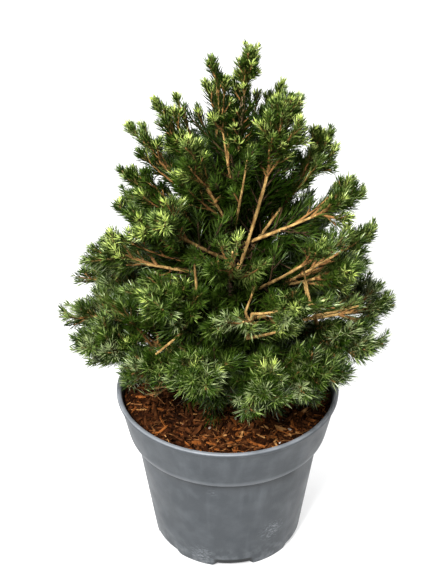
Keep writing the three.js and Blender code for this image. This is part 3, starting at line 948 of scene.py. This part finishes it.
# Where a shoot's end lies, whether on the side of the trunk that the photograph shows, how shaded the
# lowest sprays are, which clusters have yellow-green tips, few low down and many near the top, and
# which low ones are pale
def surroundings(shoots):
    points = shoots.curves[:, 2]
    outer, high = place_in_crown(points)
    in_front = points[:, 1] < -0.3 * reach_at(points)
    shade = np.clip((0.36 - high) / 0.26, 0, 1)
    lime_share = np.clip(0.05 + 1.1 * (high - 0.3), 0.05, 0.70)
    lime = (shoots.luck < lime_share) & ((outer > 0.66) | (high > 0.7))
    pale = (outer > 0.7) & (high < 0.45) & (shoots.luck > 0.86)
    return outer, high, in_front, shade, lime, pale


# The kind of needle along each shoot. The dark deep kind on inner sprays away from the front and on a share
# of the lowest outer ones, and fewer fresh ones low down, are painted shade
def spray_kinds(shoots):
    outer, high, in_front, shade, lime, pale = surroundings(shoots)
    chance = chances(outer)
    kinds = np.full(len(outer), MID)
    kinds[(outer + 0.2 * chance < 0.62) & ~in_front] = DEEP
    kinds[(outer > 0.66) & (chance > 0.64 + 0.15 * shade)] = FRESH
    kinds[(outer > 0.62) & (chance < 0.14 + 0.46 * shade)] = DEEP
    kinds[pale] = PALE
    kinds[lime & (shoots.rank < 3)] = FRESH
    kinds[lime & (shoots.rank < 1)] = LIME
    return kinds


# The kind of needle in the tuft at each shoot's end. Darker mid and deep tufts inside the crown, and more
# deep and fewer fresh ones low down, are painted shade
def tuft_kinds(shoots):
    outer, high, in_front, shade, lime, pale = surroundings(shoots)
    chance = chances(outer)
    kinds = np.where(chance < 0.55 - 0.25 * shade, FRESH, MID)
    kinds[chance > 1 - 0.35 * shade] = DEEP
    kinds[(outer < 0.7) & (high < 0.75)] = MID
    kinds[(outer < 0.5) & (high < 0.65) & ~in_front] = DEEP
    kinds[pale] = PALE
    kinds[lime & (shoots.rank < 4)] = FRESH
    kinds[lime & (shoots.rank < 2)] = LIME
    return kinds


# Single needles that differ from their spray: its kind, their share and their own kind
VARIETY = [(DEEP, 0.2, MID), (LIME, 0.15, FRESH), (FRESH, 0.35, MID), (PALE, 0.4, MID), (MID, 0.24, DEEP)]
# The crown stands open over the mulch at the front left, up to a height that grows towards the front
OPENING_SIDES = (-78, -37)
OPENING_HEIGHT = 153
OPENING_SLOPE = 0.7
OPENING_FRINGE = 4
CLEARED_SHARE = 0.9
OUTLINE_MARGIN = 2


def over_open_mulch(points):
    between = (points[:, 0] > OPENING_SIDES[0]) & (points[:, 0] < OPENING_SIDES[1])
    return between & (points[:, 2] < OPENING_HEIGHT - OPENING_SLOPE * points[:, 1])


# Gives needles at some roots their widths and kinds, and drops those that stand where none may
def needles(shoots, index, root, heading, out, length, width, kinds, parted=0):
    _, high = place_in_crown(root)
    widths = width * vary(0.85, 0.3, index) * mix(0.86, 1.05, high)
    tips = root + heading * length[:, None]
    reach = np.hypot(tips[:, 0], tips[:, 1])
    inside = (tips[:, 2] > POT_HEIGHT + 0.5) & (reach < crown_reach(tips[:, 2]) + OUTLINE_MARGIN)
    hidden = before_bare_limb(tips) | before_bare_limb(root + heading * (length / 2)[:, None])
    inside &= ~hidden | (chances(index) > CLEARED_SHARE)
    inside &= chances(index) > parted
    inside &= ~over_open_mulch(tips + OPENING_FRINGE * draw.standard_normal(tips.shape))
    chance = chances(index)
    kinds = kinds[index]
    for kind, below, other in VARIETY:
        kinds = np.where((kinds == kind) & (chance < below), other, kinds)
    return [field[inside] for field in (root, heading, out, length, widths, kinds, shoots.owners[index])]


# Needles along shoots, leaning forwards and denser towards the end
def needles_along(shoots, density, bare, size, width=0.95, parting=0.0):
    kinds = spray_kinds(shoots)
    counts = np.maximum(4, np.round(shoots.lengths * (1 - bare) * density)).astype(int)
    index, number = numbered(counts)
    along = (number + chances(index)) / counts[index]
    share = np.minimum(bare + (1 - bare) * along**0.85, 1)
    turn = golden_turns(len(counts), index, number)
    turn += 0.5 * (chances(index) - 0.5)
    curves = shoots.curves[index]
    tangent = curve_tangent(curves, share)
    side, over = square_to(tangent)
    out = leaning(side, over, turn)
    parted = np.where(np.sin(turn) > 0.4, parting, 0)
    out = unit(out + UP * 0.2)
    lean = np.radians(mix(40, 24, share) + 14 * (chances(index) - 0.5))
    heading = unit(leaning(tangent, out, lean))
    radius = mix(shoots.base[index], shoots.tip[index], share)
    root = curve_point(curves, share) + out * (radius * 0.6)[:, None]
    _, high = place_in_crown(root)
    length = size * vary(0.8, 0.4, index) * (1 - 0.4 * share**3) * mix(1.12, 0.68, high)
    return needles(shoots, index, root, heading, out, length, width, kinds, parted)


# A tuft of short needles spreads out of each shoot's end
def end_tufts(shoots, count, size, width=0.95):
    kinds = tuft_kinds(shoots)
    index, number = numbered(np.full(len(kinds), count))
    curves = shoots.curves[index]
    share = 1 - 0.08 * chances(index)
    tangent = curve_tangent(curves, share)
    side, over = square_to(tangent)
    out = leaning(side, over, golden_turns(len(kinds), index, number))
    root = curve_point(curves, share)
    _, high = place_in_crown(root)
    lean = 6 + mix(42, 26, high) * np.sqrt((number + 0.5) / count) + 10 * (chances(index) - 0.5)
    heading = unit(leaning(tangent, out, np.radians(lean)))
    length = size * vary(0.75, 0.5, index) * mix(1.5, 0.75, high)
    return needles(shoots, index, root, heading, out, length, width, kinds)


# Along shoots: needles to each millimetre, bare share, length, width and share parted along the top.
# In tufts: number and length
batches = [
    needles_along(stems, 2.1, 0.24, 15, 1, 0.8),
    needles_along(leader, 3, 0, 11, parting=0.4),
    needles_along(bough_limbs, 1, 0.15, 15, 0.9),
    needles_along(trunk_limb, 3.6, 0.66, 14, 1),
    needles_along(mains, 2.3, 0.04, 15, 1, 0.85),
    needles_along(fans, 2.2, 0.04, 15, 1, 0.85),
    needles_along(tops, 2.4, 0.04, 13),
    needles_along(betweens, 1.8, 0.06, 14, 1),
    needles_along(rosettes, 1.8, 0.2, 13, parting=0.6),
    needles_along(front_limbs, 2.4, 0.15, 13, parting=0.7),
    needles_along(front_feet, 2, 0, 14),
    needles_along(front_ends, 2.2, 0.04, 10.5),
    end_tufts(front_ends, 8, 6.4),
    needles_along(rosette_ends, 2.2, 0.04, 10.5),
    end_tufts(rosette_ends, 8, 6.4),
    needles_along(inners, 1.3, 0.1, 18, 1.4),
    needles_along(cores, 1.3, 0.1, 18, 1.4),
    needles_along(back_twigs, 1.4, 0.08, 14, 1),
    needles_along(twigs, 1.8, 0.06, 12.5, 1, 0.5),
    needles_along(stem_ends, 2, 0.04, 10.5),
    needles_along(fan_ends, 2, 0.04, 10),
    needles_along(twig_ends, 1.8, 0.04, 9),
    end_tufts(stem_ends, 10, 6.4),
    end_tufts(fan_ends, 7, 6.2),
    end_tufts(twig_ends, 6, 6),
]
*needle_fields, needle_kinds, needle_owners = (np.concatenate(column) for column in zip(*batches))
needle_materials = [needle_material(f"needles_{kind}", *looks) for kind, looks in NEEDLE_COLOURS.items()]
for number, tier in enumerate(tier_names):
    for kind, kind_name in enumerate(NEEDLE_COLOURS):
        mine = (tier_of_mass[needle_owners] == number) & (needle_kinds == kind)
        if mine.any():
            mesh = slivers(*(field[mine] for field in needle_fields))
            name = f"needles_{tier}_{kind_name}"
            add_piece(name, mesh, needle_materials[kind], foliage_of_tier[number], smooth=False)


# Bark relief on the trunk and the boughs
def rough_bar(controls, radius_at, sides, rings, depth, grain, seed):
    shares = np.linspace(0, 1, rings + 1)
    tangents = curve_tangent(controls, shares)
    centres = curve_point(controls, shares)
    side, _ = square_to(curve_tangent(controls, 0.5))
    across = unit(side - (tangents @ side)[:, None] * tangents)
    over = np.cross(across, tangents)
    points = []
    for i, share in enumerate(shares):
        radius = radius_at(share)
        for j in range(sides):
            angle = FULL_TURN * j / sides
            out = across[i] * math.cos(angle) + over[i] * math.sin(angle)
            where = Vector((out[0] * grain, out[1] * grain, share * grain * 5 + seed))
            plates = noise.noise(where * 1.3)
            finer = Vector((out[0] * grain * 2.2, out[1] * grain * 2.2, share * grain * 7 - seed))
            furrow = abs(noise.noise(finer))
            height = depth * (0.7 * plates + 1.3 * furrow - 0.35)
            points.append(centres[i] + out * (radius + height))
    points.append(centres[0])
    points.append(centres[-1])
    return np.array(points), ring_faces(sides, rings, closed=True)


# Sides, rings, depth of the relief and its grain
TRUNK_BARK = (26, 150, 0.55, 2.4)
BOUGH_BARK = (14, 40, 0.28, 2.0)
TRUNK_BARK_START = 11
BARK_STEP = 576

trunk_mesh = rough_bar(TRUNK_POINTS, trunk_radius, *TRUNK_BARK, TRUNK_BARK_START)
add_piece("trunk_bark", trunk_mesh, barks["trunk_bark"], ["trunk"])
for tier in tier_names:
    meshes, names = [], []
    for bough in boughs:
        if bough["tier"] == tier:
            def radius_at(share, bough=bough):
                return BARE_SHARE * mix(bough["radius"], bough["end_radius"], share)

            meshes.append(rough_bar(bough["curve"], radius_at, *BOUGH_BARK, BARK_STEP * len(meshes)))
            names.append(bough["name"])
    if meshes:
        add_piece(f"boughs_{tier}", joined(meshes), barks["bough_bark"], names)


# The pot, turned from an outline of radius, height and the size of the softened corner
def softened(outline, steps=5):
    points = [outline[0][:2]]
    for before, corner, after in zip(outline, outline[1:], outline[2:]):
        cut = corner[2]
        before, corner, after = (np.array(point[:2], float) for point in (before, corner, after))
        back = before - corner
        ahead = after - corner
        near = min(cut, np.linalg.norm(back) * 0.45, np.linalg.norm(ahead) * 0.45)
        controls = np.stack([corner + unit(back) * near, corner, corner + unit(ahead) * near])
        points.extend(curve_point(controls, np.linspace(0, 1, steps)))
    points.append(outline[-1][:2])
    return np.array(points, float)


# Splits the long stretches of an outline
def divided(outline, longest):
    points = [outline[0]]
    for before, after in zip(outline, outline[1:]):
        count = max(1, math.ceil(np.linalg.norm(after - before) / longest))
        points.extend(mix(before, after, (i + 1) / count) for i in range(count))
    return np.array(points)


def turned(outline, sides):
    angles = FULL_TURN * np.arange(sides) / sides
    inner = outline[1:-1]
    reach = inner[:, 0:1]
    heights = np.broadcast_to(inner[:, 1:2], (len(inner), sides))
    rings = np.stack([reach * np.cos(angles), reach * np.sin(angles), heights], -1)
    ends = [[0, 0, outline[0][1]], [0, 0, outline[-1][1]]]
    inside_out = ring_faces(sides, len(inner) - 1, closed=True)
    return np.concatenate([rings.reshape(-1, 3), ends]), inside_out[:, [0, 2, 1]]


pot_outline = softened(
    [
        (0, 0, 0),
        (FOOT_RADIUS - EDGE, 0, EDGE),
        (FOOT_RADIUS, CORNER, EDGE),
        (BODY_TOP_RADIUS, BODY_TOP, EDGE),
        (BAND_FOOT_RADIUS - CORNER, BAND_FOOT - EDGE, BAND_ROUND),
        (BAND_FOOT_RADIUS, BAND_FOOT + BAND_ROUND, BAND_ROUND),
        (BAND_TOP_RADIUS, POT_HEIGHT - LIP_HEIGHT - EDGE, CORNER),
        (LIP_RADIUS, POT_HEIGHT - LIP_HEIGHT, EDGE),
        (LIP_RADIUS, POT_HEIGHT - EDGE, EDGE),
        (LIP_RADIUS - EDGE, POT_HEIGHT, EDGE),
        (LIP_INNER + EDGE, POT_HEIGHT, EDGE),
        (LIP_INNER, POT_HEIGHT - EDGE, EDGE),
        (BAND_FOOT_RADIUS - WALL, BAND_FOOT + CORNER, CORNER),
        (BODY_TOP_RADIUS - WALL, BODY_TOP + EDGE, EDGE),
        (FOOT_RADIUS - WALL + EDGE, RING_TOP, EDGE),
        (RING_INNER, RING_TOP, EDGE),
        (RING_INNER - RING_SLOPE, FLOOR, EDGE),
        (0, FLOOR, 0),
    ]
)


# How much of something a surface has by its height, from none at the first height to all at the second
def by_height(tree, where, first, second):
    split = add_node(tree, "SeparateXYZ", {"Vector": where})
    return levels(tree, split.outputs["Z"], first * MM, second * MM)


# The same by the distance from a spot
def by_distance(tree, where, spot, near, far):
    inputs = {0: where, 1: tuple(value * MM for value in spot)}
    node = add_node(tree, "VectorMath", inputs, operation="DISTANCE")
    return levels(tree, node.outputs["Value"], far * MM, near * MM)


def product(tree, first, second):
    return add_node(tree, "Math", {0: first, 1: second}, operation="MULTIPLY").outputs["Value"]


POT_GREYS = {
    "dark": (0.038, 0.044, 0.050),
    "light": (0.052, 0.059, 0.066),
    "patches": (0.065, 0.073, 0.081),
    "streaks": (0.079, 0.088, 0.097),
    "shade": (0.030, 0.034, 0.038),
    "band_edge_highlight": (0.145, 0.157, 0.169),
    "dust": (0.16, 0.172, 0.182),
    "scuffs": (0.21, 0.225, 0.24),
    "notch_shade": (0.012, 0.013, 0.014),
    "lip_wear_and_highlight": (0.205, 0.218, 0.236),
}
SCUFFS = [((38, -59, 38), 15), ((-12, -70, 96), 9), ((-22, -62, 12), 14)]
# Heights of the paler lip top: partly wear, partly a painted highlight
LIP_WEAR_AND_HIGHLIGHT = (148.6, 149.6)
# Centre of the painted shade over the front notch
NOTCH_TOP = (5, -65, 5)


# Weathered grey plastic: mottled, with faint streaks, painted shade under the band and a painted highlight
# on its lower edge, dust near the foot, scuffs, painted shade as a dark line over the front notch, and a
# paler lip that is partly wear and partly a painted highlight
def pot_material():
    made, tree, shader = new_material("pot_plastic", 0.5, 0.5)
    where = place(tree)

    def grain(scale, detail, low, high, spot=where):
        return noise_value(tree, spot, scale, detail, low, high)

    def height(first, second):
        return by_height(tree, where, first, second)

    layers = [
        ("patches", grain(70, 5, 0.45, 0.75)),
        ("streaks", grain(75, 4, 0.55, 0.85, place(tree, (1, 1, 0.07)))),
        # Painted shade under the band, and a painted highlight on the band's rounded lower edge
        ("shade", product(tree, product(tree, height(92, 106), height(108.6, 107.6)), 0.7)),
        ("band_edge_highlight", product(tree, product(tree, height(108.2, 109.4), height(114.5, 110.5)), 0.55)),
        ("dust", product(tree, product(tree, height(26, 0), grain(150, 6, 0.45, 0.62)), 0.7)),
    ]
    for spot, size in SCUFFS:
        marks = grain(330, 5, 0.5, 0.62, place(tree, (1, 1, 2.4)))
        near = by_distance(tree, where, spot, 2, size)
        layers.append(("scuffs", product(tree, product(tree, near, marks), 0.8)))
    # Painted shade: a dark line on the wall just over the front notch
    near_notch = by_distance(tree, where, NOTCH_TOP, 15, 18.5)
    layers.append(("notch_shade", product(tree, height(9.8, 8.6), near_notch)))
    # The paler lip: partly wear and partly a painted highlight on its top
    layers.append(("lip_wear_and_highlight", product(tree, height(*LIP_WEAR_AND_HIGHLIGHT), grain(45, 3, 0.1, 0.6))))
    base = mixed(tree, grain(11, 4, 0.3, 0.7), POT_GREYS["dark"], POT_GREYS["light"])
    for name, factor in layers:
        base = mixed(tree, factor, base, POT_GREYS[name])
    tree.links.new(base, shader.inputs["Base Color"])
    inputs = {"Value": grain(40, 4, 0.3, 0.7), "To Min": 0.40, "To Max": 0.60}
    rough = add_node(tree, "MapRange", inputs).outputs["Result"]
    tree.links.new(rough, shader.inputs["Roughness"])
    add_bump(tree, shader, grain(700, 3, 0.3, 0.7), 0.2, 0.0002)
    return made


pot_mesh = turned(divided(pot_outline, LONGEST_STRETCH), POT_SIDES)
pot = add_piece("pot_shell", pot_mesh, pot_material(), ["pot"])

# Drain notches with flared sides are cut out of the foot; the section's corners lie across and up
NOTCH_SECTION = [(-20, -1), (20, -1), (14, 5), (-14, 5)]
NOTCH_FACES = [(3, 2, 1, 0), (4, 5, 6, 7), (0, 1, 5, 4), (1, 2, 6, 5), (2, 3, 7, 6), (3, 0, 4, 7)]
notch_corners = [(reach, *corner) for reach in (NOTCH_INNER, NOTCH_OUTER) for corner in NOTCH_SECTION]
cutter_points, cutter_faces = [], []
for i in range(NOTCH_COUNT):
    angle = math.radians(NOTCH_FIRST_ANGLE + i * 360 / NOTCH_COUNT)
    corners = np.array(notch_corners, float)
    turn = np.array([[math.cos(angle), math.sin(angle)], [-math.sin(angle), math.cos(angle)]])
    corners[:, :2] = corners[:, :2] @ turn
    cutter_faces += [tuple(len(cutter_points) + c for c in face) for face in NOTCH_FACES]
    cutter_points += [tuple(corner * MM) for corner in corners]
cutter_mesh = bpy.data.meshes.new("notches")
cutter_mesh.from_pydata(cutter_points, [], cutter_faces)
cutter = add_object("notches", cutter_mesh)
cut = pot.modifiers.new("notches", "BOOLEAN")
cut.operation = "DIFFERENCE"
cut.solver = "EXACT"
cut.object = cutter
depsgraph = bpy.context.evaluated_depsgraph_get()
cut_mesh = bpy.data.meshes.new_from_object(pot.evaluated_get(depsgraph))
pot.modifiers.clear()
cut_mesh.set_sharp_from_angle(angle=math.radians(40))
pot.data = cut_mesh
bpy.data.objects.remove(cutter)

# Bark mulch: the earth's own solid shows between chips, crumbs and fibres
EARTH = ((0.008, 0.003, 0.001), (0.034, 0.012, 0.004), 220, 0.95, 1.0, 0.05)
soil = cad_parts["soil"]
soil.data.materials.clear()
soil.data.materials.append(bark_material("earth", *EARTH))

CHIP_OUTLINE = np.array([[-1, -0.35], [-0.55, -1], [0.6, -0.85], [1, 0.1], [0.5, 1], [-0.7, 0.75]])
CHIP_CORNERS = len(CHIP_OUTLINE)
CHIP_TAPER = 0.9
BRIGHT_THINNING_START = -15
BRIGHT_THINNING_WIDTH = 40
BRIGHT_THINNING_MOST = 0.75
BRIGHT = 0.2


def soil_height(reach):
    half = (SOIL_EDGE_RADIUS + SOIL_MIDDLE_RADIUS) / 2
    heights = [SOIL_MIDDLE_HEIGHT, SOIL_MIDDLE_HEIGHT - SOIL_DROP, SOIL_EDGE_HEIGHT]
    return np.interp(reach, [SOIL_MIDDLE_RADIUS, half, SOIL_EDGE_RADIUS], heights)


# The triangles of one flake: its two faces and its edge
def chip_faces():
    faces = []
    for i in range(1, CHIP_CORNERS - 1):
        faces.append((0, i + 1, i))
        faces.append((CHIP_CORNERS, CHIP_CORNERS + i, CHIP_CORNERS + i + 1))
    for i in range(CHIP_CORNERS):
        j = (i + 1) % CHIP_CORNERS
        faces.append((i, j, CHIP_CORNERS + i))
        faces.append((j, CHIP_CORNERS + j, CHIP_CORNERS + i))
    return np.array(faces)


# Flat irregular flakes that lie on the earth at all tilts; bright ones grow rarer towards the left
def flakes(count, long_size, narrow, thick, tilt, lift, bright):
    reach = CHIP_LIMIT * np.sqrt(draw.random(count))
    turn = draw.random(count) * FULL_TURN
    centre = np.stack([reach * np.cos(turn), reach * np.sin(turn), soil_height(reach)], -1)
    centre[:, 2] += mix(*lift, draw.random(count))
    normal = unit(np.stack([draw.normal(0, tilt, count), draw.normal(0, tilt, count), np.ones(count)], -1))
    yaw = draw.random(count) * FULL_TURN
    along = np.stack([np.cos(yaw), np.sin(yaw), np.zeros(count)], -1)
    along = unit(along - (along * normal).sum(-1, keepdims=True) * normal)
    across = np.cross(normal, along)
    length = mix(*long_size, draw.random(count) ** 1.8)
    width = length * mix(*narrow, draw.random(count))
    height = mix(*thick, draw.random(count))
    spots = CHIP_OUTLINE[None] * (1 + 0.28 * draw.normal(0, 1, (count, CHIP_CORNERS, 2)))
    flat = (
        along[:, None] * (spots[..., 0:1] * length[:, None, None] / 2)
        + across[:, None] * (spots[..., 1:2] * width[:, None, None] / 2)
    )
    bow = (spots[..., 0:1] ** 2 - 0.5) * (length * 0.05 * draw.normal(0, 1, count))[:, None, None]
    flat = flat + normal[:, None] * bow
    rise = normal[:, None] * height[:, None, None] / 2
    middle = centre[:, None]
    points = np.concatenate([middle + flat - rise, middle + flat * CHIP_TAPER + rise], axis=1)
    far = np.hypot(points[..., 0], points[..., 1]).max(axis=1)
    bright_thinning = bright * np.clip((BRIGHT_THINNING_START - centre[:, 0]) / BRIGHT_THINNING_WIDTH, 0, BRIGHT_THINNING_MOST)
    keep = (far < CHIP_LIMIT) & (reach >= FLARE_RADIUS + 1) & (draw.random(count) > bright_thinning)
    return points[keep].reshape(-1, 3), repeated(chip_faces(), keep.sum(), 2 * CHIP_CORNERS)


# Number, length, share of width, thickness, tilt and height over the earth of each kind of flake
MULCH = {
    "dark": (2300, (3, 14), (0.14, 0.34), (0.5, 1.6), 0.5, (-0.4, 2.4)),
    "brown": (1500, (3, 16), (0.12, 0.3), (0.5, 1.6), 0.5, (0, 2.8)),
    "rust": (620, (4, 17), (0.1, 0.28), (0.5, 1.5), 0.42, (0.4, 3.1)),
    "tan": (150, (4, 17), (0.1, 0.26), (0.5, 1.3), 0.38, (0.8, 3.3)),
    "crumbs": (1900, (0.8, 3), (0.4, 0.9), (0.4, 1.4), 0.6, (-0.2, 2.2)),
    "fibres": (520, (6, 18), (0.04, 0.1), (0.3, 0.7), 0.35, (0.8, 3.2)),
    "pale": (16, (1.5, 4), (0.5, 0.9), (0.6, 1.4), 0.4, (1.5, 3)),
}
# Its dark and light colour
MULCH_COLOURS = {
    "dark": ((0.012, 0.004, 0.001), (0.040, 0.012, 0.003)),
    "brown": ((0.040, 0.014, 0.004), (0.110, 0.040, 0.012)),
    "rust": ((0.122, 0.040, 0.009), (0.270, 0.098, 0.024)),
    "tan": ((0.240, 0.115, 0.036), (0.420, 0.232, 0.090)),
    "crumbs": ((0.018, 0.006, 0.002), (0.110, 0.033, 0.007)),
    "fibres": ((0.100, 0.042, 0.013), (0.270, 0.126, 0.046)),
    "pale": ((0.36, 0.32, 0.26), (0.58, 0.54, 0.48)),
}
MULCH_LOOKS = (260, 0.85, 0.6, 0.08)
for name, shape in MULCH.items():
    dark, light = MULCH_COLOURS[name]
    mesh = flakes(*shape, light[0] > BRIGHT)
    chip_material = bark_material(f"mulch_{name}", dark, light, *MULCH_LOOKS)
    add_piece(f"mulch_{name}", mesh, chip_material, smooth=False)

# Pale floor, plain studio light
FLOOR_SIZE = 6
FLOOR_GREY = 0.38
FLOOR_GLOW = 0.50
WORLD_LIGHT = 0.2
# Place, size and power of each light, in metres and watts; all aim at the lower crown
LIGHTS = {
    "key": (KEY_PLACE, 0.4, 62),
    "top": ((0, 0.2, 2.4), 2.0, 40),
    "back": ((0.3, 1.4, 1.5), 1.2, 16),
    "left": ((-1.5, 0.3, 0.7), 1.0, 13),
    "right": ((1.5, 0.45, 0.7), 1.0, 9),
}
LIGHT_AIM = Vector((0, 0, 0.25))
EXPOSURE = 0.2
GAMMA = 0.89

bpy.ops.mesh.primitive_plane_add(size=FLOOR_SIZE, location=(0, 0, 0))
floor = bpy.context.object
floor.name = "floor"
floor_material, _, floor_shader = new_material("floor", 0.9, 0.1)
floor_shader.inputs["Base Color"].default_value = (FLOOR_GREY, FLOOR_GREY, FLOOR_GREY, 1)
floor_shader.inputs["Emission Color"].default_value = (1, 1, 1, 1)
floor_shader.inputs["Emission Strength"].default_value = FLOOR_GLOW
floor.data.materials.append(floor_material)

world = bpy.data.worlds.new("studio")
world.use_nodes = True
world.node_tree.nodes["Background"].inputs["Color"].default_value = (1, 1, 1, 1)
world.node_tree.nodes["Background"].inputs["Strength"].default_value = WORLD_LIGHT
scene.world = world

for name, (location, size, power) in LIGHTS.items():
    data = bpy.data.lights.new(name, "AREA")
    data.size = size
    data.energy = power
    light = add_object(name, data)
    light.location = location
    light.rotation_euler = (LIGHT_AIM - Vector(location)).to_track_quat("-Z", "Y").to_euler()

scene.view_settings.view_transform = "Standard"
scene.view_settings.exposure = EXPOSURE
scene.view_settings.gamma = GAMMA
